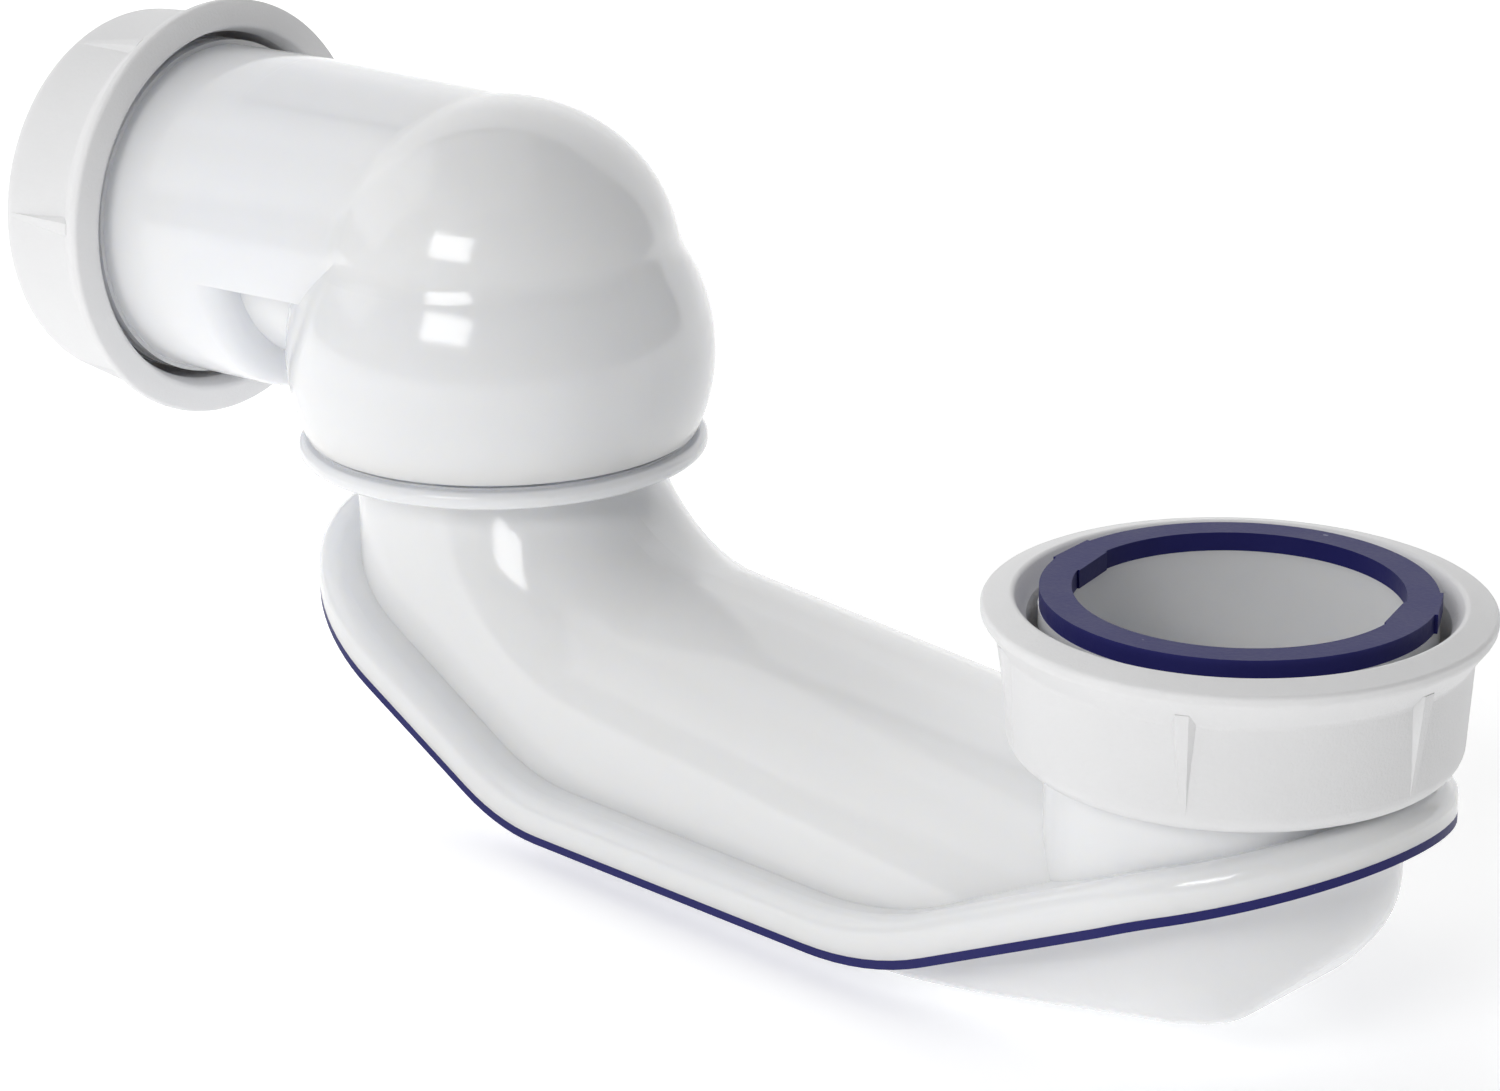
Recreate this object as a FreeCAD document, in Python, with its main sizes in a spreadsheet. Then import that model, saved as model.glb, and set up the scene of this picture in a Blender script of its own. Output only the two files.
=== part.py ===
import FreeCAD
import Part
import Sketcher
from FreeCAD import Placement, Rotation, Vector

import math
import os

# Tubular P trap: two white polypropylene half shells joined along a split line that
# follows the bend, a union nut at the inlet and a swivelling elbow with a union nut.
# Frame: millimetres, +Z up, origin at the centre of the inlet nut's rim, the inlet axis
# is Z and the riser tower stands towards -X.

doc = FreeCAD.newDocument("p_trap")
sheet = doc.addObject("Spreadsheet::Sheet", "dims")

DIMENSIONS = [
    ("reach", 121.3, "inlet axis to tower axis"),
    ("wall", 2.4, "moulded wall thickness"),
    ("hall_rad", 21.2, "half width of the body at the inlet axis"),
    ("tower_rad", 19.4, "radius of the riser tower, and half width of the body there"),
    ("tower_bore_rad", 17.0, "bore of the riser tower"),
    ("arch_round", 18.0, "rounding of the body's top edges"),
    ("skirt_rad", 25.0, "outer radius of the joint skirt"),
    ("skirt_tall", 5.8, "top of the joint skirt above the split line"),
    ("skirt_round", 2.4, "rounding of the skirt's top edge"),
    ("tongue_tall", 3.6, "top of the lower shell's edge above the split line"),
    ("pan_rad", 19.3, "half width of the lower shell's floor at the inlet axis"),
    ("pan_tower_rad", 17.6, "half width of the lower shell's floor at the tower axis"),
    ("pan_wall", 2.0, "wall thickness of the lower shell"),
    ("joint_gap", 0.15, "gap all round the lower shell's edge"),
    ("bead_thick", 1.1, "thickness of the seam bead"),
    ("inlet_root_top", -18.2, "top of the body round the inlet spigot"),
    ("spigot_rad", 20.4, "outer radius of the inlet spigot"),
    ("spigot_bore_rad", 18.4, "bore of the inlet spigot"),
    ("flange_rad", 22.1, "radius of the flange that carries the inlet washer"),
    ("flange_thick", 2.6, "thickness of that flange"),
    ("washer_top", 1.6, "height of the inlet washer's sealing face"),
    ("washer_rad", 22.0, "inlet washer, outer radius"),
    ("washer_bore_rad", 18.4, "inlet washer, inner radius"),
    ("washer_thick", 2.2, "inlet washer thickness"),
    ("tab_wide", 7.0, "width of a washer tab"),
    ("tab_proud", 0.6, "how far a washer tab stands out of its edge"),
    ("nut_tall", 17.3, "height of a union nut"),
    ("nut_rim_rad", 28.5, "flared rim of a union nut"),
    ("nut_mouth_rad", 24.9, "mouth of a union nut at its top"),
    ("nut_mouth_rise", 0.9, "height of the mouth above the rim's outer edge"),
    ("nut_thread_rad", 24.0, "bore of the outlet nut, at the root of its G1 1/2 thread"),
    ("inlet_thread_rad", 23.4, "bore of the inlet nut, between its thread's root and crest"),
    ("nut_waist_rad", 26.2, "outside of a union nut under its rim"),
    ("nut_foot_rad", 25.4, "outside of a union nut near its closed end"),
    ("nut_lip_thick", 2.0, "end wall of a union nut"),
    ("inlet_lip_rad", 21.2, "hole in the inlet nut's end wall"),
    ("outlet_lip_rad", 20.8, "hole in the outlet nut's end wall"),
    ("rib_wide", 4.4, "width of a grip rib at its root, below the rim"),
    ("rib_proud", 1.1, "how far a grip rib stands out there"),
    ("collar_rad", 26.9, "retaining ring, outer radius"),
    ("collar_bore_rad", 19.9, "retaining ring, inner radius"),
    ("collar_base", -8.9, "height of the retaining ring's underside"),
    ("collar_thick", 2.2, "thickness of the retaining ring"),
    ("collar_round", 0.9, "rounding of the retaining ring's rim"),
    ("band_rad", 25.2, "raised band on the retaining ring"),
    ("band_tall", 0.3, "height of that band"),
    ("claw_rad", 24.05, "outside of the retaining ring's claws"),
    ("claw_bore_rad", 22.7, "inside of the claws"),
    ("claw_top", -4.2, "height of the claws' tips"),
    ("claw_wide", 4.0, "width of a claw"),
    ("hook_rad", 24.9, "outside of the hooks at the claws' tips"),
    ("hook_tall", 0.8, "height of a hook"),
    ("head_rad", 20.6, "tower head inside the elbow"),
    ("head_top", 8.0, "height of the tower head's top edge"),
    ("head_flange_rad", 22.3, "flange that the retaining ring holds"),
    ("head_flange_base", -6.0, "height of that flange's underside"),
    ("head_flange_thick", 2.2, "thickness of that flange"),
    ("land_rad", 23.9, "lands that guide the elbow on the head"),
    ("land_thick", 1.2, "thickness of a land"),
    ("ring_mid", 2.8, "height of the swivel O-ring"),
    ("ring_cord", 1.6, "radius of the O-ring's cord"),
    ("elbow_base", -5.9, "height of the elbow's lower edge"),
    ("elbow_bore_rad", 24.2, "socket of the elbow round the tower head"),
    ("elbow_bore_top", 11.4, "height of that socket's roof"),
    ("barrel_round", 24.8, "radius of the barrel's bulging side"),
    ("barrel_round_out", 3.3, "centre of that radius, out from the tower axis"),
    ("barrel_round_up", 4.5, "centre of that radius, height"),
    ("barrel_top", 19.4, "height of the barrel's top, inside the hood"),
    ("branch_high", 16.4, "height of the branch axis"),
    ("branch_turn", 188.4, "direction of the branch, degrees from +X"),
    ("branch_rad", 21.5, "outer radius of the branch at the tower axis"),
    ("branch_end_rad", 22.3, "outer radius of the branch beside the nut"),
    ("branch_neck_rad", 17.6, "neck of the branch under the hood"),
    ("branch_bore_rad", 15.4, "bore of the branch"),
    ("hood_rad", 23.9, "hood over the tower, across"),
    ("hood_tall", 21.7, "hood over the tower, height above the branch axis"),
    ("shoulder_round", 8.0, "hollow between the hood and the barrel's top edge"),
    ("hood_edge", 13.0, "height of the hood's lower edge over the notch"),
    ("socket_start", 30.5, "tower axis to the socket's end wall"),
    ("socket_round", 3.2, "rounding of that end wall"),
    ("socket_end", 60.9, "tower axis to the socket's mouth"),
    ("pipe_stop", 37.0, "tower axis to the stop inside the socket"),
    ("pipe_bore_rad", 20.2, "socket bore for 40 mm pipe"),
    ("thread_start", 49.4, "tower axis to the first thread"),
    ("thread_rad", 22.9, "outer radius of the socket's thread"),
    ("thread_root_rad", 22.3, "root radius of the socket's thread"),
    ("thread_pitch", 2.309, "pitch of a G1 1/2 thread"),
    ("outlet_nut_at", 48.4, "tower axis to the outlet nut's rim"),
    ("seal_seat_deep", 2.6, "depth of the seal's seat in the socket's mouth"),
    ("seal_bore_rad", 20.2, "outlet seal, inner radius"),
    ("seal_nose_rad", 21.0, "outlet seal, radius of its nose"),
    ("seal_back_rad", 22.2, "outlet seal, radius of its back"),
    ("seal_len", 3.6, "outlet seal, length"),
    ("slip_rad", 23.3, "slip ring, outer radius"),
    ("slip_bore_rad", 20.6, "slip ring, inner radius"),
    ("slip_thick", 1.2, "slip ring thickness"),
    ("play", 0.3, "working gap between loose parts"),
]

dim = {}
for row, (alias, value, note) in enumerate(DIMENSIONS, start=1):
    sheet.set("A%d" % row, note)
    sheet.set("B%d" % row, str(value))
    sheet.setAlias("B%d" % row, alias)
    dim[alias] = value
doc.recompute()

UP = Rotation()
TOWER = Vector(-dim["reach"], 0, 0)
BRANCH_TURN = Rotation(Vector(0, 0, 1), dim["branch_turn"])
BRANCH_DIR = BRANCH_TURN.multVec(Vector(1, 0, 0))
ALONG_BRANCH = BRANCH_TURN.multiply(Rotation(Vector(0, 1, 0), 90))
NUT_OUTWARD = BRANCH_TURN.multiply(Rotation(Vector(0, 1, 0), -90))


# ---------------------------------------------------------------- helpers
def amount(formula):
    """The number that a sum or difference of sheet names stands for."""
    total, sign = 0.0, 1
    for word in formula.split():
        if word in "+-":
            sign = 1 if word == "+" else -1
        else:
            total += sign * (dim[word] if word in dim else float(word))
    return total


def on_sheet(formula):
    return " ".join("dims." + word if word in dim else word for word in formula.split())


def bind(obj, **formulas):
    """Ties properties to the sheet; words that are aliases become its cells."""
    for prop, formula in formulas.items():
        obj.setExpression(prop, on_sheet(formula))


def on_tower(height):
    return TOWER + Vector(0, 0, height)


def on_branch(distance):
    return on_tower(dim["branch_high"]) + BRANCH_DIR * distance


def solid(kind, name, place, turn, **formulas):
    obj = doc.addObject(kind, name)
    bind(obj, **formulas)
    obj.Placement = Placement(place, turn)
    return obj


def cylinder(name, radius, height, place=Vector(), turn=UP):
    return solid("Part::Cylinder", name, place, turn, Radius=radius, Height=height)


def cone(name, radius_low, radius_high, height, place=Vector(), turn=UP):
    return solid("Part::Cone", name, place, turn, Radius1=radius_low, Radius2=radius_high, Height=height)


def box(name, length, width, height, place=Vector(), turn=UP):
    """A box centred on its place across, starting at its place along and upwards."""
    corner = place - turn.multVec(Vector(0, amount(width) / 2, 0))
    return solid("Part::Box", name, corner, turn, Length=length, Width=width, Height=height)


def fuse(name, shapes):
    obj = doc.addObject("Part::MultiFuse", name)
    obj.Shapes = shapes
    return obj


def common(name, shapes):
    obj = doc.addObject("Part::MultiCommon", name)
    obj.Shapes = shapes
    return obj


def cut(name, base, tool):
    obj = doc.addObject("Part::Cut", name)
    obj.Base = base
    obj.Tool = tool
    return obj


def ring(name, outer, inner, height, place=Vector(), turn=UP):
    """A plain ring: one cylinder bored by another."""
    body = cylinder(name + "_body", outer, height, place, turn)
    hole = cylinder(name + "_hole", inner, height, place, turn)
    return cut(name, body, hole)


def rounded(name, base, picks, radius_at):
    """Rounds the picked edges; radius_at gives the radius for an X position."""
    doc.recompute()
    obj = doc.addObject("Part::Fillet", name)
    obj.Base = base
    picked = []
    for index, edge in enumerate(base.Shape.Edges, start=1):
        if picks(edge):
            start, end = edge.valueAt(edge.FirstParameter), edge.valueAt(edge.LastParameter)
            picked.append((index, radius_at(start.x), radius_at(end.x)))
    obj.Edges = picked
    return obj


def always(radius):
    return lambda x: radius


# ---------------------------------------------------------------- side outlines
# They lie in the XZ plane as corners (x, z, radius), each corner rounded to its radius.
# The split line falls from the inlet end, lies level under the bend and climbs again to
# the tower end. The other lines follow it.

SPLIT_LINE = [
    (34.0, -19.7, 0.0),
    (6.0, -29.6, 60.0),
    (-33.0, -47.9, 45.0),
    (-96.5, -48.6, 28.0),
    (-156.0, -18.2, 0.0),
]
CREST = [
    (-152.0, 99.3, 0.0),
    (-97.5, -17.6, 20.0),
    (34.0, -26.6, 0.0),
]
UNDERSIDE = [
    (34.0, -19.8, 0.0),
    (7.4, -46.4, 10.5),
    (-42.4, -52.3, 30.0),
    (-92.0, -52.3, 26.0),
    (-156.0, -19.6, 0.0),
]


def offset_line(corners, shift):
    """The line moved sideways: upwards where it runs towards -X, downwards towards +X."""
    moved = []
    for i, (x, z, radius) in enumerate(corners):
        legs = []
        for a, b in zip(corners[max(i - 1, 0):i + 1], corners[max(i - 1, 0) + 1:i + 2]):
            length = math.hypot(b[0] - a[0], b[1] - a[1])
            legs.append(((b[1] - a[1]) / length, (a[0] - b[0]) / length))
        nx = sum(leg[0] for leg in legs) / len(legs)
        nz = sum(leg[1] for leg in legs) / len(legs)
        scale = shift / (nx * nx + nz * nz)
        moved.append((x + nx * scale, z + nz * scale, radius))
    return moved


def line_edges(corners):
    """Straight runs joined by tangent arcs at the rounded corners, as sketch geometry."""
    edges = []
    start = Vector(corners[0][0], corners[0][1], 0)
    for before, (x, z, radius), after in zip(corners, corners[1:], corners[2:]):
        here = Vector(x, z, 0)
        if radius > 0:
            back_dir = (Vector(before[0], before[1], 0) - here).normalize()
            on_dir = (Vector(after[0], after[1], 0) - here).normalize()
            half = back_dir.getAngle(on_dir) / 2
            reach_back = radius / math.tan(half)
            middle = here + (back_dir + on_dir).normalize() * (radius / math.sin(half) - radius)
            edges.append(Part.LineSegment(start, here + back_dir * reach_back))
            edges.append(Part.Arc(here + back_dir * reach_back, middle, here + on_dir * reach_back))
            start = here + on_dir * reach_back
        else:
            edges.append(Part.LineSegment(start, here))
            start = here
    edges.append(Part.LineSegment(start, Vector(corners[-1][0], corners[-1][1], 0)))
    return edges


def along(corners):
    """Picks the edges that run along a side outline, and not those straight across it."""
    wire = Part.Wire([piece.toShape() for piece in line_edges(corners)])

    def picks(edge):
        span = edge.LastParameter - edge.FirstParameter
        spots = [edge.valueAt(edge.FirstParameter + span * share) for share in (0.2, 0.8)]
        across = abs(spots[0].x - spots[1].x) < 0.01
        gaps = [wire.distToShape(Part.Vertex(spot.x, spot.z, 0))[0] for spot in spots]
        return not across and max(gaps) < 0.02
    return picks


def extrusion(name, pieces, turn, forward, backward):
    outline = doc.addObject("Sketcher::SketchObject", name + "_outline")
    outline.Placement = Placement(Vector(), turn)
    outline.addGeometry(pieces, False)
    block = doc.addObject("Part::Extrusion", name)
    block.Base = outline
    block.DirMode = "Normal"
    block.Solid = True
    bind(block, LengthFwd=forward, LengthRev=backward)
    return block


def side_block(name, corners):
    """A closed side outline, extruded to both sides of the XZ plane past the skirt."""
    side_on = Rotation(Vector(1, 0, 0), 90)
    half_deep = "skirt_rad + wall"
    return extrusion(name, line_edges(corners + [corners[0]]), side_on, half_deep, half_deep)


def belt_side(inlet_rad, tower_rad):
    """Where the belt round the two circles leaves them: sine and cosine of its lean."""
    sine = (amount(inlet_rad) - amount(tower_rad)) / dim["reach"]
    return sine, math.sqrt(1 - sine * sine)


def plan_block(name, inlet_rad, tower_rad):
    """A tall block whose plan is the belt round two circles, on the inlet and tower axes."""
    sine, cosine = belt_side(inlet_rad, tower_rad)
    near, far, span = amount(inlet_rad), amount(tower_rad), dim["reach"]
    near_left = Vector(-near * sine, near * cosine, 0)
    far_left = Vector(-span - far * sine, far * cosine, 0)
    near_right = Vector(near_left.x, -near_left.y, 0)
    far_right = Vector(far_left.x, -far_left.y, 0)
    return extrusion(name, [
        Part.LineSegment(near_left, far_left),
        Part.Arc(far_left, Vector(-span - far, 0, 0), far_right),
        Part.LineSegment(far_right, near_right),
        Part.Arc(near_right, Vector(near, 0, 0), near_left),
    ], UP, "reach", "reach")


def wedge_block(name, inlet_rad, tower_rad):
    """The same block with its straight sides carried on past both circles."""
    sine, cosine = belt_side(inlet_rad, tower_rad)
    front, back = dim["skirt_rad"], -dim["reach"] - 2 * dim["skirt_rad"]
    front_half = (amount(inlet_rad) + front * sine) / cosine
    back_half = (amount(inlet_rad) + back * sine) / cosine
    corners = [
        Vector(front, front_half, 0), Vector(back, back_half, 0),
        Vector(back, -back_half, 0), Vector(front, -front_half, 0),
    ]
    sides = [Part.LineSegment(corners[i], corners[(i + 1) % 4]) for i in range(4)]
    return extrusion(name, sides, UP, "reach", "reach")


def strip(low_shift, high_shift):
    """Closed side outline between two offsets of the split line."""
    return offset_line(SPLIT_LINE, low_shift) + offset_line(SPLIT_LINE, high_shift)[::-1]


# ---------------------------------------------------------------- upper shell
low_edge = offset_line(SPLIT_LINE, dim["tongue_tall"] + dim["joint_gap"])
below_ring = solid("Part::Box", "below_ring", Vector(-200, -50, dim["collar_base"] - 100), UP,
                   Length="2 * reach", Width="100", Height="100")


def hall(name, bottom, crest, inset, arch):
    """The long chamber: an arched top under the crest line, belt shaped in plan."""
    inlet_rad, tower_rad = "hall_rad - %s" % inset, "tower_rad - %s" % inset
    right, left = crest[-1][0], crest[0][0]
    deep = -dim["reach"]
    block = common(name + "_block", [
        side_block(name + "_side", [(right, deep, 0.0), (left, deep, 0.0)] + crest),
        wedge_block(name + "_wedge", inlet_rad, tower_rad),
    ])
    arched = rounded(name + "_arched", block, along(crest), always(arch))
    above = bottom + [(bottom[-1][0], 0.0, 0.0), (bottom[0][0], 0.0, 0.0)]
    return common(name, [
        arched,
        plan_block(name + "_plan", inlet_rad, tower_rad),
        side_block(name + "_above", above),
        below_ring,
    ])


hall_outer = hall("hall_outer", low_edge, CREST, "0", dim["arch_round"])
hall_inner = hall("hall_inner", offset_line(SPLIT_LINE, -1.0), offset_line(CREST, dim["wall"]), "wall",
                  dim["arch_round"] - dim["wall"])
skirt_line = offset_line(SPLIT_LINE, dim["skirt_tall"])
skirt_block = common("skirt_block", [
    side_block("skirt_side", strip(dim["bead_thick"], dim["skirt_tall"])),
    plan_block("skirt_plan", "skirt_rad", "skirt_rad"),
])
skirt = rounded("skirt", skirt_block, along(skirt_line), always(dim["skirt_round"]))
tongue_room = common("tongue_room", [
    side_block("tongue_room_side", strip(-1.0, dim["tongue_tall"] + dim["joint_gap"])),
    plan_block("tongue_room_plan", "hall_rad + joint_gap", "tower_rad + joint_gap"),
])
root_top = dim["inlet_root_top"]
inlet_root = common("inlet_root", [
    side_block("inlet_root_side", low_edge + [(-156.0, root_top, 0.0), (34.0, root_top, 0.0)]),
    cylinder("inlet_root_round", "hall_rad", "60", Vector(0, 0, -60)),
])
flange_base = dim["washer_top"] - dim["washer_thick"] - dim["flange_thick"]
spigot = cylinder("spigot", "spigot_rad", "washer_top - washer_thick - inlet_root_top + 2",
                  Vector(0, 0, dim["inlet_root_top"] - 2))
flange = cylinder("flange", "flange_rad", "flange_thick", Vector(0, 0, flange_base))
spigot_bore = cylinder("spigot_bore", "spigot_bore_rad", "60", Vector(0, 0, -34))
tower = cylinder("tower", "tower_rad", "8", on_tower(dim["collar_base"] - 6))
head = cylinder("head", "tower_rad", "head_top - collar_base", on_tower(dim["collar_base"]))
flange_at = on_tower(dim["head_flange_base"])
head_core = cylinder("head_core", "head_rad", "head_top - head_flange_base", flange_at)
head_flange = cylinder("head_flange", "head_flange_rad", "head_flange_thick", flange_at)
lands = []
land_gap = 2 * dim["ring_cord"] + 2 * dim["play"]
low_land = dim["ring_mid"] - land_gap / 2 - dim["land_thick"]
high_land = low_land + land_gap + dim["land_thick"]
for n, height in enumerate((low_land, low_land - 2 * dim["land_thick"], high_land)):
    lands.append(cylinder("land%d" % n, "land_rad", "land_thick", on_tower(height)))
tower_bore = cylinder("tower_bore", "tower_bore_rad", "60", on_tower(-24))
upper_solid = fuse("upper_solid", [
    hall_outer, skirt, inlet_root, spigot, flange, tower, head, head_core, head_flange] + lands)
upper_hollow = fuse("upper_hollow", [hall_inner, tongue_room, spigot_bore, tower_bore])
upper_shell = cut("upper_shell", upper_solid, upper_hollow)

# ---------------------------------------------------------------- lower shell and seam bead
FLOOR_ROUND = 3.3
BOW_ROUND = 12.0
BOW_RUN = 46.0


def floor_round(x, less=0.0):
    """The floor's edge rounding grows from the long middle to the inlet end."""
    share = min(1.0, max(0.0, (x + 42.0) / BOW_RUN))
    return FLOOR_ROUND + (BOW_ROUND - FLOOR_ROUND) * share - less


def pan(name, floor, top, inset, less):
    """The space under the bend from its floor up to a line, with its floor's edge rounded."""
    block = common(name + "_block", [
        side_block(name + "_side", floor + top[::-1]),
        plan_block(name + "_plan", "pan_rad - %s" % inset, "pan_tower_rad - %s" % inset),
    ])
    return rounded(name, block, along(floor), lambda x: floor_round(x, less))


tongue_top = offset_line(SPLIT_LINE, dim["tongue_tall"])
tongue = common("tongue", [
    side_block("tongue_side", strip(0.0, dim["tongue_tall"])),
    plan_block("tongue_plan", "hall_rad", "tower_rad"),
])
pan_outer = pan("pan_outer", UNDERSIDE, tongue_top, "0", 0.0)
pan_inner = pan("pan_inner", offset_line(UNDERSIDE, dim["pan_wall"]),
                offset_line(SPLIT_LINE, dim["tongue_tall"] + 1.0), "pan_wall", 1.6)
lower_shell = cut("lower_shell", fuse("lower_solid", [pan_outer, tongue]), pan_inner)

bead_block = common("bead_block", [
    side_block("bead_side", strip(0.0, dim["bead_thick"])),
    plan_block("bead_plan", "skirt_rad", "skirt_rad"),
])
bead_hole = plan_block("bead_hole", "hall_rad + joint_gap", "tower_rad + joint_gap")
seam_bead = cut("seam_bead", bead_block, bead_hole)

# ---------------------------------------------------------------- inlet washer
INNER_TABS = (18.0, 193.5)
OUTER_TABS = (30.0, 187.0)
washer_base = Vector(0, 0, dim["washer_top"] - dim["washer_thick"])
washer_bits = [ring("washer_ring", "washer_rad", "washer_bore_rad", "washer_thick", washer_base)]
for angle in INNER_TABS:
    turn = Rotation(Vector(0, 0, 1), angle)
    start = washer_base + turn.multVec(Vector(dim["washer_bore_rad"] - dim["tab_proud"], 0, 0))
    tab = box("inner_tab%d" % angle, "tab_proud + 1.5", "tab_wide", "washer_thick", start, turn)
    washer_bits.append(tab)
for angle in OUTER_TABS:
    turn = Rotation(Vector(0, 0, 1), angle)
    start = washer_base + turn.multVec(Vector(dim["washer_rad"] - 1.5, 0, 0))
    tab = box("outer_tab%d" % angle, "tab_proud + 1", "tab_wide", "washer_thick", start, turn)
    washer_bits.append(tab)
inlet_washer = fuse("inlet_washer", washer_bits)


# ---------------------------------------------------------------- union nuts
def body_plane(body, role):
    return [feature for feature in body.Origin.OriginFeatures if feature.Role == role][0]


def half_section(body, name, corners):
    """A closed polygon on the XZ plane; every corner is a radius and a depth, tied to the sheet."""
    sketch = body.newObject("Sketcher::SketchObject", name)
    sketch.AttachmentSupport = [(body_plane(body, "XZ_Plane"), "")]
    sketch.MapMode = "FlatFace"
    spots = [Vector(amount(radius), -amount(depth), 0) for radius, depth in corners]
    for start, end in zip(spots, spots[1:] + spots[:1]):
        sketch.addGeometry(Part.LineSegment(start, end), False)
    for i, (radius, depth) in enumerate(corners):
        sketch.addConstraint(Sketcher.Constraint("Coincident", i - 1 if i else len(corners) - 1, 2, i, 1))
        across = sketch.addConstraint(Sketcher.Constraint("DistanceX", i, 1, spots[i].x))
        sketch.setExpression("Constraints[%d]" % across, on_sheet(radius))
        down = sketch.addConstraint(Sketcher.Constraint("DistanceY", i, 1, spots[i].y))
        sketch.setExpression("Constraints[%d]" % down, "-(%s)" % on_sheet(depth))
    return sketch


def soften(body, base, radius, circle_rad, depth):
    """Rounds the one circular edge at this radius and depth of a turned body."""
    doc.recompute()
    names = []
    for index, edge in enumerate(base.Shape.Edges, start=1):
        middle = edge.valueAt((edge.FirstParameter + edge.LastParameter) / 2)
        if abs(math.hypot(middle.x, middle.y) - circle_rad) < 0.01 and abs(middle.z + depth) < 0.01:
            names.append("Edge%d" % index)
    fillet = body.newObject("PartDesign::Fillet", base.Name + "_soft")
    fillet.Base = (base, names)
    fillet.Radius = radius
    return fillet


def rib_plan(body, name, depth, low, high, half_wide, turn):
    """One section of a grip rib, a trapezium in plan, at a depth below the rim."""
    sketch = body.newObject("Sketcher::SketchObject", name)
    sketch.AttachmentSupport = [(body_plane(body, "XY_Plane"), "")]
    sketch.MapMode = "FlatFace"
    sketch.AttachmentOffset = Placement(Vector(0, 0, -depth), UP)
    corners = [
        Vector(low, -half_wide, 0), Vector(high, -half_wide / 3, 0),
        Vector(high, half_wide / 3, 0), Vector(low, half_wide, 0),
    ]
    corners = [turn.multVec(corner) for corner in corners]
    sides = [Part.LineSegment(corners[i], corners[(i + 1) % 4]) for i in range(4)]
    sketch.addGeometry(sides, False)
    return sketch


def union_nut(name, lip_rad, bore_rad, rib_angle):
    """Union nut: flared rim at the open end, tapering wall, inward lip, six grip ribs."""
    flare_end, waist_at = "3.4", "4.4"
    body = doc.addObject("PartDesign::Body", name)
    section = half_section(body, name + "_section", [
        ("nut_mouth_rad", "0 - nut_mouth_rise"),
        ("nut_rim_rad", "0"),
        ("nut_rim_rad", "1.2"),
        ("nut_waist_rad + 0.7", flare_end),
        ("nut_waist_rad", waist_at),
        ("nut_foot_rad", "nut_tall"),
        (lip_rad, "nut_tall"),
        (lip_rad, "nut_tall - nut_lip_thick"),
        (bore_rad, "nut_tall - nut_lip_thick"),
        (bore_rad, "1.6"),
    ])
    turned = body.newObject("PartDesign::Revolution", name + "_turned")
    turned.Profile = section
    turned.ReferenceAxis = (section, ["V_Axis"])
    turned.Angle = 360
    foot = soften(body, turned, 2.4, dim["nut_foot_rad"], dim["nut_tall"])
    rim = soften(body, foot, 0.5, dim["nut_rim_rad"], 0.0)
    flare = soften(body, rim, 0.9, dim["nut_rim_rad"], 1.2)
    waist = soften(body, flare, 1.2, dim["nut_waist_rad"], float(waist_at))
    soften(body, waist, 0.6, dim["nut_mouth_rad"], -dim["nut_mouth_rise"])
    turn = Rotation(Vector(0, 0, 1), rib_angle)
    top = rib_plan(body, name + "_rib_top", float(flare_end) - 0.4, dim["nut_waist_rad"] - 1.0,
                   dim["nut_waist_rad"] + dim["rib_proud"], dim["rib_wide"] / 2, turn)
    toe = rib_plan(body, name + "_rib_toe", dim["nut_tall"] - 1.9, dim["nut_foot_rad"] - 1.2,
                   dim["nut_foot_rad"] + 0.1, dim["rib_wide"] / 5, turn)
    rib = body.newObject("PartDesign::AdditiveLoft", name + "_rib")
    rib.Profile = top
    rib.Sections = [toe]
    body.Tip = rib
    doc.recompute()
    ribs = body.newObject("PartDesign::PolarPattern", name + "_ribs")
    ribs.Originals = [rib]
    ribs.Axis = (top, ["N_Axis"])
    ribs.Angle = 360
    ribs.Occurrences = 6
    body.Tip = ribs
    doc.recompute()
    return body


inlet_nut = union_nut("inlet_nut", "inlet_lip_rad", "inlet_thread_rad", -4.5)
outlet_nut = union_nut("outlet_nut", "outlet_lip_rad", "nut_thread_rad", 25.0)
outlet_nut.Placement = Placement(on_branch(dim["outlet_nut_at"]), NUT_OUTWARD)

# ---------------------------------------------------------------- swivel elbow
def barrel_rad(height):
    """Outside of the barrel at a height: an arc bulging out from the tower axis."""
    rise = height - dim["barrel_round_up"]
    return dim["barrel_round_out"] + math.sqrt(dim["barrel_round"] ** 2 - rise ** 2)


barrel_section = doc.addObject("Sketcher::SketchObject", "barrel_section")
barrel_section.Placement = Placement(TOWER, Rotation(Vector(1, 0, 0), 90))
low, high = dim["elbow_base"], dim["barrel_top"]
barrel_low = Vector(barrel_rad(low), low, 0)
barrel_high = Vector(barrel_rad(high), high, 0)
barrel_wide = Vector(barrel_rad(dim["barrel_round_up"]), dim["barrel_round_up"], 0)
barrel_section.addGeometry([
    Part.LineSegment(Vector(0, low, 0), barrel_low),
    Part.Arc(barrel_low, barrel_wide, barrel_high),
    Part.LineSegment(barrel_high, Vector(0, high, 0)),
    Part.LineSegment(Vector(0, high, 0), Vector(0, low, 0)),
], False)
barrel = doc.addObject("Part::Revolution", "barrel")
barrel.Source = barrel_section
barrel.Base = TOWER
barrel.Axis = Vector(0, 0, 1)
barrel.Angle = 360
barrel.Solid = True

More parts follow.
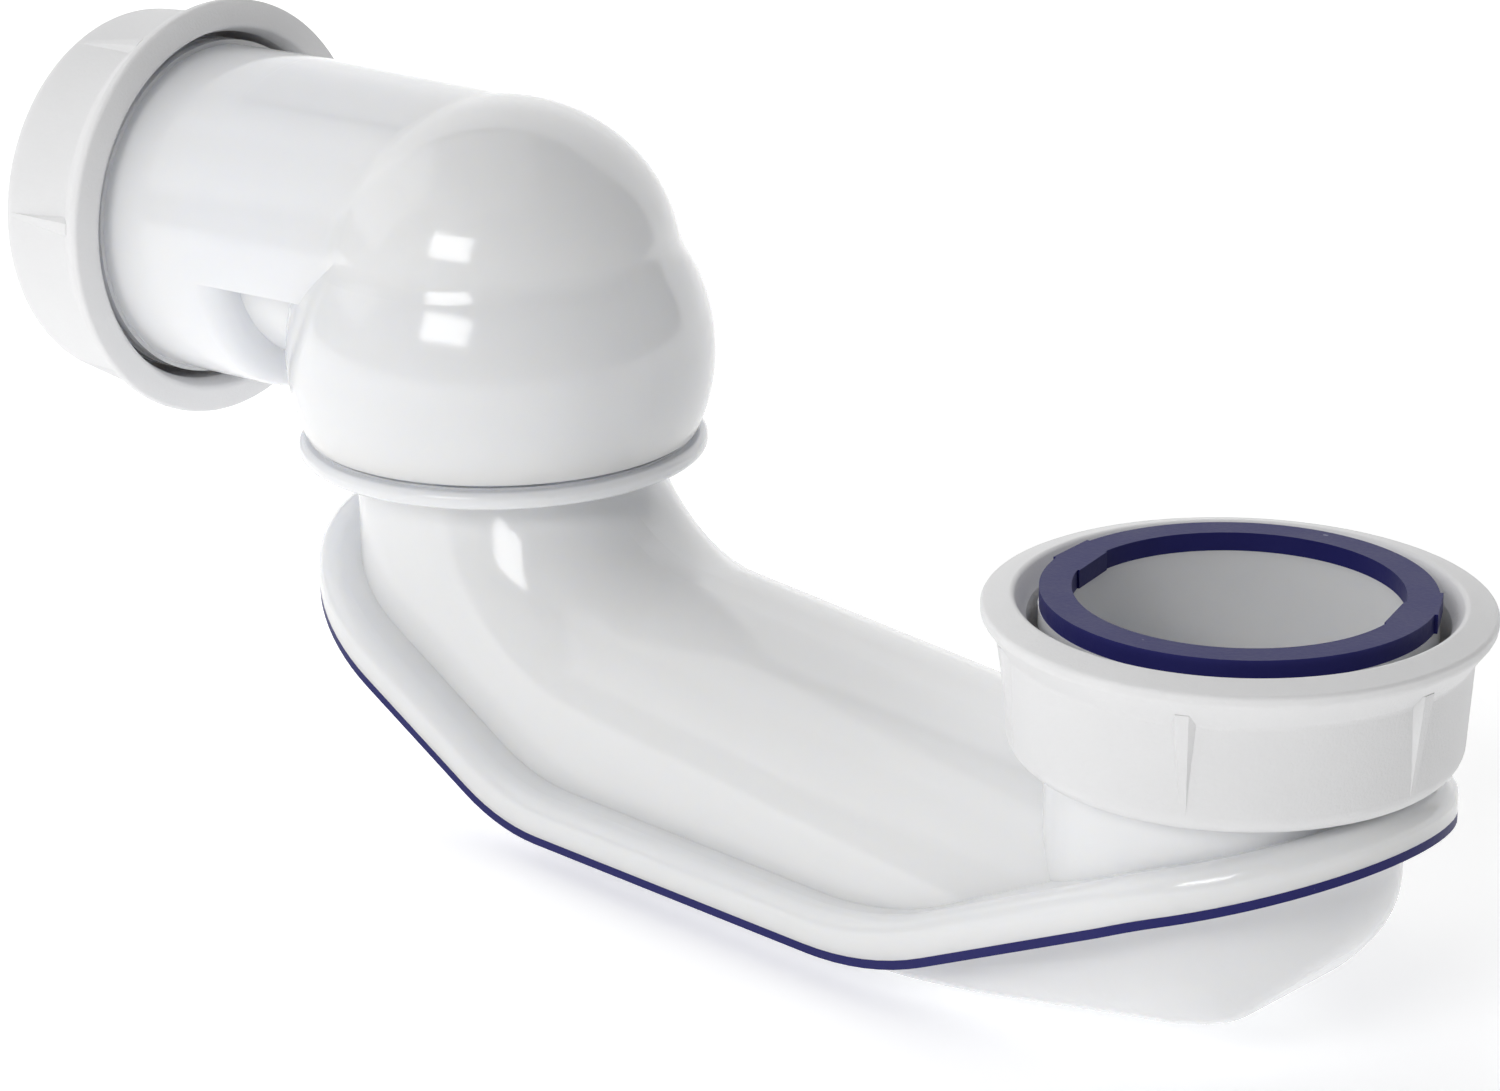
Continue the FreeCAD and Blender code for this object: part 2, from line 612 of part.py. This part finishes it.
hood = solid("Part::Ellipsoid", "hood", on_branch(0), UP,
             Radius1="hood_tall", Radius2="hood_rad", Radius3="hood_rad")
branch = cone("branch", "branch_rad", "branch_end_rad", "socket_start + socket_round + 0.5",
              on_branch(0), ALONG_BRANCH)
over_notch = box("over_notch", "reach + reach", "reach + reach", "reach",
                 Vector(-2 * dim["reach"], 0, dim["hood_edge"]))
hood_all = common("hood_all", [fuse("hood_round", [hood, branch]), over_notch])
branch_neck = cylinder("branch_neck", "branch_neck_rad", "socket_start + 5", on_branch(0), ALONG_BRANCH)
socket_tube = cylinder("socket_tube", "branch_end_rad", "socket_end - socket_start",
                       on_branch(dim["socket_start"]), ALONG_BRANCH)


def end_circle(place):
    """Picks the circular edge centred on this place."""
    def picks(edge):
        return edge.Curve.TypeId == "Part::GeomCircle" and edge.Curve.Center.distanceToPoint(place) < 0.01
    return picks


socket_end_wall = end_circle(on_branch(dim["socket_start"]))
socket = rounded("socket", socket_tube, socket_end_wall, always(dim["socket_round"]))
threads = []
thread_count = int((dim["socket_end"] - 1 - dim["thread_start"]) / dim["thread_pitch"])
for n in range(thread_count):
    place = on_branch(dim["thread_start"] + n * dim["thread_pitch"])
    threads.append(cylinder("thread%d" % n, "thread_rad", "thread_pitch / 2", place, ALONG_BRANCH))
thread_root = cylinder("thread_root", "thread_root_rad", "socket_end - thread_start",
                       on_branch(dim["thread_start"]), ALONG_BRANCH)
elbow_sharp = fuse("elbow_sharp", [barrel, hood_all, branch_neck, socket, thread_root] + threads)


def shoulder(edge):
    """Picks the level curve where the hood rises out of the barrel, and the one over the hood."""
    if edge.Length < 1.0 or edge.Length > 80.0:
        return False
    first, last = edge.valueAt(edge.FirstParameter), edge.valueAt(edge.LastParameter)
    middle = edge.valueAt((edge.FirstParameter + edge.LastParameter) / 2) - TOWER
    ends_high = min(first.z, last.z) > dim["branch_high"] and max(first.z, last.z) < dim["barrel_top"]
    level = abs(middle.z - first.z) < 0.2 and math.hypot(middle.x, middle.y) > dim["tower_rad"]
    over = middle.z > dim["barrel_top"] + dim["wall"] and middle.x < 0
    return ends_high and (level or over)


elbow_solid = rounded("elbow_solid", elbow_sharp, shoulder, always(dim["shoulder_round"]))

barrel_bore = cylinder("barrel_bore", "elbow_bore_rad", "elbow_bore_top - elbow_base",
                       on_tower(dim["elbow_base"]))
hook_room = cylinder("hook_room", "hook_rad + play", "hook_tall + 2 * play",
                     on_tower(dim["claw_top"] - dim["hook_tall"] - dim["play"]))
hood_bore = solid("Part::Ellipsoid", "hood_bore", on_branch(0), UP, Radius1="hood_tall - wall",
                  Radius2="hood_rad - wall", Radius3="hood_rad - wall")
over_barrel = box("over_barrel", "reach + reach", "reach + reach", "reach",
                  Vector(-2 * dim["reach"], 0, dim["elbow_bore_top"] - 0.1))
hood_hollow = common("hood_hollow", [hood_bore, over_barrel])
branch_bore = cylinder("branch_bore", "branch_bore_rad", "pipe_stop + 1", on_branch(0), ALONG_BRANCH)
pipe_bore = cylinder("pipe_bore", "pipe_bore_rad", "socket_end - pipe_stop + 1", on_branch(dim["pipe_stop"]),
                     ALONG_BRANCH)
seat_at = on_branch(dim["socket_end"] - dim["seal_seat_deep"])
seal_seat = cone("seal_seat", "seal_nose_rad + 0.1", "seal_back_rad + 0.1", "seal_len",
                 seat_at, ALONG_BRANCH)
elbow_hollow = fuse("elbow_hollow", [barrel_bore, hook_room, hood_hollow, branch_bore, pipe_bore, seal_seat])
swivel_elbow = cut("swivel_elbow", elbow_solid, elbow_hollow)

# ---------------------------------------------------------------- swivel seal and retaining ring
swivel_o_ring = solid("Part::Torus", "swivel_o_ring", on_tower(dim["ring_mid"]), UP,
                      Radius1="head_rad + ring_cord + 0.1", Radius2="ring_cord")

collar_plate = cylinder("collar_plate", "collar_rad", "collar_thick", on_tower(dim["collar_base"]))


def rim_edges(edge):
    return edge.Curve.TypeId == "Part::GeomCircle"


collar_soft = rounded("collar_soft", collar_plate, rim_edges, always(dim["collar_round"]))
band_base = dim["collar_base"] + dim["collar_thick"]
band = cylinder("band", "band_rad", "band_tall", on_tower(band_base))
claw_ring = ring("claw_ring", "claw_rad", "claw_bore_rad", "claw_top - collar_base - collar_thick",
                 on_tower(band_base))
hook_ring = ring("hook_ring", "hook_rad", "claw_bore_rad", "hook_tall",
                 on_tower(dim["claw_top"] - dim["hook_tall"]))
spokes = []
for n in range(4):
    turn = Rotation(Vector(0, 0, 1), 22.5 + 45 * n)
    start = on_tower(band_base) - turn.multVec(Vector(dim["collar_rad"], 0, 0))
    spokes.append(box("spoke%d" % n, "2 * collar_rad", "claw_wide", "claw_top - collar_base", start, turn))
claws = common("claws", [fuse("claw_rings", [claw_ring, hook_ring]), fuse("spokes", spokes)])
collar_whole = fuse("collar_whole", [collar_soft, band, claws])
slit_turn = Rotation(Vector(0, 0, 1), 90)
slit = box("slit", "2 * collar_rad", "1.2", "20", on_tower(dim["collar_base"] - 5), slit_turn)
collar_bore = cylinder("collar_bore", "collar_bore_rad", "20", on_tower(dim["collar_base"] - 5))
swivel_retaining_ring = cut("swivel_retaining_ring", collar_whole, fuse("collar_cuts", [collar_bore, slit]))

# ---------------------------------------------------------------- outlet seal and slip ring
seal_body = cone("seal_body", "seal_nose_rad", "seal_back_rad", "seal_len", seat_at, ALONG_BRANCH)
seal_hole = cylinder("seal_hole", "seal_bore_rad", "seal_len", seat_at, ALONG_BRANCH)
outlet_seal = cut("outlet_seal", seal_body, seal_hole)
nut_floor = dim["outlet_nut_at"] + dim["nut_tall"] - dim["nut_lip_thick"]
slip_at = on_branch(nut_floor - dim["slip_thick"] - dim["play"])
outlet_slip_ring = ring("outlet_slip_ring", "slip_rad", "slip_bore_rad", "slip_thick", slip_at, ALONG_BRANCH)

# ---------------------------------------------------------------- export
PARTS = {
    "upper_shell": upper_shell,
    "lower_shell": lower_shell,
    "seam_bead": seam_bead,
    "inlet_nut": inlet_nut,
    "inlet_washer": inlet_washer,
    "swivel_elbow": swivel_elbow,
    "swivel_retaining_ring": swivel_retaining_ring,
    "swivel_o_ring": swivel_o_ring,
    "outlet_nut": outlet_nut,
    "outlet_slip_ring": outlet_slip_ring,
    "outlet_seal": outlet_seal,
}
doc.recompute()
for feature in doc.Objects:
    if "Invalid" in feature.State or "Error" in feature.State:
        raise RuntimeError("%s failed: %s" % (feature.Name, feature.State))
os.makedirs("parts", exist_ok=True)
for label, piece in PARTS.items():
    piece.Label = label
    shape = piece.Shape
    if shape.isNull() or not shape.isValid() or len(shape.Solids) != 1:
        raise RuntimeError("%s has a bad shape: %d solids" % (label, len(shape.Solids)))
    shape.exportStep("parts/%s.step" % label)
    print("%-22s %9.1f mm3" % (label, shape.Volume))
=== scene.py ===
import math

import bpy
import numpy as np
from mathutils import Matrix, Vector


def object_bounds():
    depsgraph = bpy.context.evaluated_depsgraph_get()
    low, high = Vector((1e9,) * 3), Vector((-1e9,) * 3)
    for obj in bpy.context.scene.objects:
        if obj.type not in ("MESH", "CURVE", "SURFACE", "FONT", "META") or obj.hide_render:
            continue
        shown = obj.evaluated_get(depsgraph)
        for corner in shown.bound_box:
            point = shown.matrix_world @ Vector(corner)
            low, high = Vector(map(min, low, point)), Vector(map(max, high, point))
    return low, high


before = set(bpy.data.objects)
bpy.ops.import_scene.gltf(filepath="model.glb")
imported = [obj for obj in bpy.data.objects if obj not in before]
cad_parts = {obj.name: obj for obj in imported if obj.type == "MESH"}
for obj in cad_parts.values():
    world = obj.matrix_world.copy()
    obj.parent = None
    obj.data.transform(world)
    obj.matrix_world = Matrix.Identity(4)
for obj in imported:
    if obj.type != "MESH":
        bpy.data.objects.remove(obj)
cad_low, cad_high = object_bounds()


# ---------------------------------------------------------------- body shells
# Upper and lower half shells of the bend, moulded in glossy white polypropylene. The gates
# and the flow of the melt leave faint waves, and handling leaves fine rubs in the gloss.

class Sum:
    """Wraps one shader socket, so that shader maths reads as arithmetic."""

    def __init__(self, tree, socket):
        self.tree = tree
        self.socket = socket

    def node(self, kind, settings=None, inputs=None, output=0):
        """Adds a node: its settings first, then the values or links of its sockets."""
        made = self.tree.nodes.new(kind)
        for name, value in (settings or {}).items():
            if name == "stops":
                set_stops(made.color_ramp, value)
            else:
                setattr(made, name, value)
        for name, value in (inputs or {}).items():
            if isinstance(value, Sum):
                self.tree.links.new(value.socket, made.inputs[name])
            else:
                made.inputs[name].default_value = value
        return Sum(self.tree, made.outputs[output])

    def maths(self, operation, first, second):
        return self.node("ShaderNodeMath", {"operation": operation}, {0: first, 1: second})

    def __add__(self, other):
        return self.maths("ADD", self, other)

    def __mul__(self, other):
        return self.maths("MULTIPLY", self, other)

    __radd__ = __add__
    __rmul__ = __mul__


def set_stops(ramp, stops):
    """Gives a colour ramp its stops, each a place and a grey level."""
    while len(ramp.elements) < len(stops):
        ramp.elements.new(1.0)
    for element, (place, level) in zip(ramp.elements, stops):
        element.position = place
        element.color = (level, level, level, 1.0)


def new_material(name, **fixed):
    """A Principled material; returns it, its shader and a start for shader maths."""
    material = bpy.data.materials.new(name)
    material.use_nodes = True
    tree = material.node_tree
    shader = tree.nodes["Principled BSDF"]
    for socket, value in fixed.items():
        shader.inputs[socket.replace("_", " ")].default_value = value
    coordinates = tree.nodes.new("ShaderNodeTexCoord")
    return material, shader, Sum(tree, coordinates.outputs["Object"])


def noise(place, scale, detail=3.0, roughness=0.5, stretch=(1.0, 1.0, 1.0)):
    """Fractal noise from 0 to 1; scale is in repeats a metre."""
    spread = place.node("ShaderNodeMapping", None, {"Vector": place, "Scale": stretch})
    values = {"Vector": spread, "Scale": scale, "Detail": detail, "Roughness": roughness}
    return place.node("ShaderNodeTexNoise", None, values)


def mask(place, value, low, high):
    """0 below low, 1 above high and a ramp between."""
    return place.node("ShaderNodeValToRGB", {"stops": [(low, 0.0), (high, 1.0)]}, {"Fac": value})


def tint(place, factor, first, second):
    """Mixes two colours by a factor from 0 to 1."""
    values = {"Factor": factor, 6: first + (1.0,), 7: second + (1.0,)}
    return place.node("ShaderNodeMix", {"data_type": "RGBA"}, values, output=2)


def finish_shader(shader, place, colour, roughness, height, depth):
    """Links colour and roughness, and a bump whose height is in metres."""
    links = place.tree.links
    links.new(colour.socket, shader.inputs["Base Color"])
    links.new(roughness.socket, shader.inputs["Roughness"])
    bump = place.node("ShaderNodeBump", None, {"Height": height, "Distance": depth, "Strength": 1.0})
    links.new(bump.socket, shader.inputs["Normal"])


def glossy_white():
    """Glossy white polypropylene: a little light goes in, faint waves, fine rubs."""
    material, shader, place = new_material(
        "gloss_white_pp", IOR=1.49, Subsurface_Weight=0.35, Subsurface_Scale=0.006,
        Subsurface_Radius=(0.8, 0.9, 1.2), Specular_IOR_Level=0.5)
    flow = noise(place, 22.0, 2.0, 0.5, (1.0, 2.2, 1.6))
    rubs = noise(place, 900.0, 4.0, 0.62, (1.0, 0.16, 0.5))
    grain = noise(place, 2600.0, 2.0)
    scuffed = mask(place, rubs, 0.6, 0.8)
    cloudy = mask(place, noise(place, 60.0, 3.0), 0.3, 0.8)
    colour = tint(place, flow, (0.80, 0.81, 0.835), (0.84, 0.85, 0.87))
    roughness = 0.09 + 0.05 * cloudy + 0.12 * scuffed
    height = flow * 0.8 + grain * 0.04
    finish_shader(shader, place, colour, roughness, height, 0.00012)
    return material


def dress(material, *nodes):
    """Puts one material on CAD nodes, in place of their plain one."""
    for node in nodes:
        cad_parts[node].data.materials.clear()
        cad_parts[node].data.materials.append(material)


white_gloss = glossy_white()
dress(white_gloss, "upper_shell", "lower_shell", "swivel_elbow", "swivel_retaining_ring")


# ---------------------------------------------------------------- blue seals
# The seam bead, the inlet washer and the outlet's cone seal: dark blue thermoplastic
# elastomer, injection moulded, with a soft sheen and a few specks of dust.

def blue_elastomer():
    """Dark blue elastomer: soft sheen, fine moulded grain, sparse pale specks."""
    material, shader, place = new_material(
        "blue_elastomer", IOR=1.5, Specular_IOR_Level=0.18)
    grain = noise(place, 1800.0, 3.0)
    waves = noise(place, 120.0, 2.0)
    dust = mask(place, noise(place, 700.0, 1.0), 0.79, 0.82)
    body = tint(place, waves, (0.012, 0.012, 0.105), (0.020, 0.020, 0.135))
    colour = place.node("ShaderNodeMix", {"data_type": "RGBA"},
                        {"Factor": dust * 0.5, 6: body, 7: (0.30, 0.31, 0.42, 1.0)}, output=2)
    roughness = 0.36 + 0.14 * waves + 0.1 * grain
    finish_shader(shader, place, colour, roughness, grain * 0.5 + waves, 0.00005)
    return material


dress(blue_elastomer(), "seam_bead", "inlet_washer", "outlet_seal")


# ---------------------------------------------------------------- union nuts
# Two equal union nuts and the slip ring, moulded in satin white polypropylene with a
# spark eroded mould texture, a shade warmer and duller than the body.

def satin_white():
    """Satin white polypropylene: fine eroded texture and soft, cloudy gloss."""
    material, shader, place = new_material(
        "satin_white_pp", IOR=1.49, Subsurface_Weight=0.15, Subsurface_Scale=0.004,
        Subsurface_Radius=(1.0, 0.95, 0.9), Specular_IOR_Level=0.4)
    texture = noise(place, 2400.0, 4.0, 0.6)
    clouds = noise(place, 70.0, 3.0)
    colour = tint(place, clouds, (0.76, 0.76, 0.765), (0.80, 0.80, 0.805))
    roughness = 0.40 + 0.12 * clouds + 0.1 * texture
    finish_shader(shader, place, colour, roughness, texture + clouds * 0.6, 0.00006)
    return material


dress(satin_white(), "inlet_nut", "outlet_nut", "outlet_slip_ring")


# ---------------------------------------------------------------- swivel O-ring
# A black nitrile ring in its gland on the tower head, greased before the elbow goes on.

def black_rubber():
    """Greased black rubber: dark, with an uneven film of grease."""
    material, shader, place = new_material("greased_rubber", IOR=1.5, Specular_IOR_Level=0.5)
    film = noise(place, 260.0, 4.0)
    colour = tint(place, film, (0.012, 0.012, 0.013), (0.024, 0.024, 0.026))
    finish_shader(shader, place, colour, 0.2 + 0.3 * film, film, 0.00004)
    return material


dress(black_rubber(), "swivel_o_ring")


# ---------------------------------------------------------------- stage, light and camera
# A white floor that curves up behind, a small bright light in front, two broad dim ones on
# the left and overhead, and a long lens a little above the object.


def sweep_floor(height, half_wide, near, far, bend, tall):
    """A floor that turns up into a wall: straight, a quarter circle of radius bend, straight."""
    turn = np.linspace(0.0, math.pi / 2, 24)
    along = np.concatenate([[near], far + bend * np.sin(turn), [far + bend]])
    rise = np.concatenate([[0.0], bend * (1 - np.cos(turn)), [tall]])
    sides = np.array([-half_wide, half_wide])
    grid = np.stack(np.broadcast_arrays(sides[None, :], along[:, None], rise[:, None] + height), -1)
    rows = np.arange(len(along) - 1)[:, None] * 2
    faces = (rows + np.array([0, 1, 3, 2])).tolist()
    mesh = bpy.data.meshes.new("floor")
    mesh.from_pydata(grid.reshape(-1, 3).tolist(), [], faces)
    mesh.shade_smooth()
    piece = bpy.data.objects.new("floor", mesh)
    bpy.context.scene.collection.objects.link(piece)
    return piece


CAMERA_TURN, CAMERA_DROP, CAMERA_LEAN = (math.radians(angle) for angle in (44.458, 18.164, -0.483))
FLOOR_TURN = math.radians(44.0)
FLOOR_WHITE = 0.9
# The floor glows though it is no lamp. This is painted light, dimmer under the object as painted shade
# and brighter far off so that the backdrop stays white.
PAINTED_GLOW_UNDER, PAINTED_GLOW_FAR = 0.40, 0.85
GLOW_START, GLOW_END = 0.12, 0.6

floor = sweep_floor(cad_low.z, half_wide=6.0, near=-4.0, far=2.5, bend=1.5, tall=6.0)
floor.rotation_euler.z = FLOOR_TURN
paper, paper_shader, paper_place = new_material("floor_paper", Roughness=0.9, Specular_IOR_Level=0.1,
                                                Emission_Strength=1.0)
paper_shader.inputs["Base Color"].default_value = (FLOOR_WHITE, FLOOR_WHITE, FLOOR_WHITE, 1.0)
# Painted light: the floor paper's emission grows with distance from the object's middle.
distance = paper_place.node("ShaderNodeVectorMath", {"operation": "LENGTH"}, {0: paper_place}, output=1)
far_off = mask(paper_place, distance, GLOW_START, GLOW_END)
painted_floor_glow = tint(paper_place, far_off, (PAINTED_GLOW_UNDER,) * 3, (PAINTED_GLOW_FAR,) * 3)
paper.node_tree.links.new(painted_floor_glow.socket, paper_shader.inputs["Emission Color"])
floor.data.materials.append(paper)

world = bpy.data.worlds.new("studio")
world.use_nodes = True
sky = world.node_tree.nodes["Background"]
sky.inputs["Color"].default_value = (1.0, 1.0, 1.0, 1.0)
sky.inputs["Strength"].default_value = 0.19
bpy.context.scene.world = world

middle = (cad_low + cad_high) / 2


def softbox(name, azimuth, elevation, distance, wide, tall, power):
    """A rectangular light aimed at the object's middle; azimuth turns as the views do."""
    light = bpy.data.lights.new(name, "AREA")
    light.shape = "RECTANGLE"
    light.size = wide
    light.size_y = tall
    light.energy = power
    lamp = bpy.data.objects.new(name, light)
    bpy.context.scene.collection.objects.link(lamp)
    turn, lift = math.radians(azimuth), math.radians(elevation)
    away = Vector((math.sin(turn) * math.cos(lift), -math.cos(turn) * math.cos(lift), math.sin(lift)))
    lamp.location = middle + away * distance
    lamp.rotation_euler = away.to_track_quat("Z", "Y").to_euler()


softbox("key", azimuth=13.0, elevation=30.0, distance=0.9, wide=0.40, tall=0.26, power=2.5)
softbox("left", azimuth=-58.0, elevation=38.0, distance=0.9, wide=0.7, tall=0.7, power=1.5)
softbox("overhead", azimuth=-30.0, elevation=78.0, distance=1.2, wide=1.4, tall=1.4, power=2.5)
bpy.context.scene.view_settings.view_transform = "Standard"

EYE = Vector((0.243447, -0.322346, 0.150141))
camera_data = bpy.data.cameras.new("camera")
camera_data.sensor_width = 36.0
camera_data.lens = 92.86
camera_data.shift_x = -0.0108
camera_data.shift_y = -0.0673
camera = bpy.data.objects.new("camera", camera_data)
bpy.context.scene.collection.objects.link(camera)
level = math.cos(CAMERA_DROP)
ahead = Vector((-math.sin(CAMERA_TURN) * level, math.cos(CAMERA_TURN) * level, -math.sin(CAMERA_DROP)))
right = Vector((math.cos(CAMERA_TURN), math.sin(CAMERA_TURN), 0.0))
over = right.cross(ahead)
leaning_right = right * math.cos(CAMERA_LEAN) + over * math.sin(CAMERA_LEAN)
leaning_over = over * math.cos(CAMERA_LEAN) - right * math.sin(CAMERA_LEAN)
stance = Matrix((leaning_right, leaning_over, -ahead)).transposed().to_4x4()
camera.matrix_world = Matrix.Translation(EYE) @ stance
bpy.context.scene.camera = camera
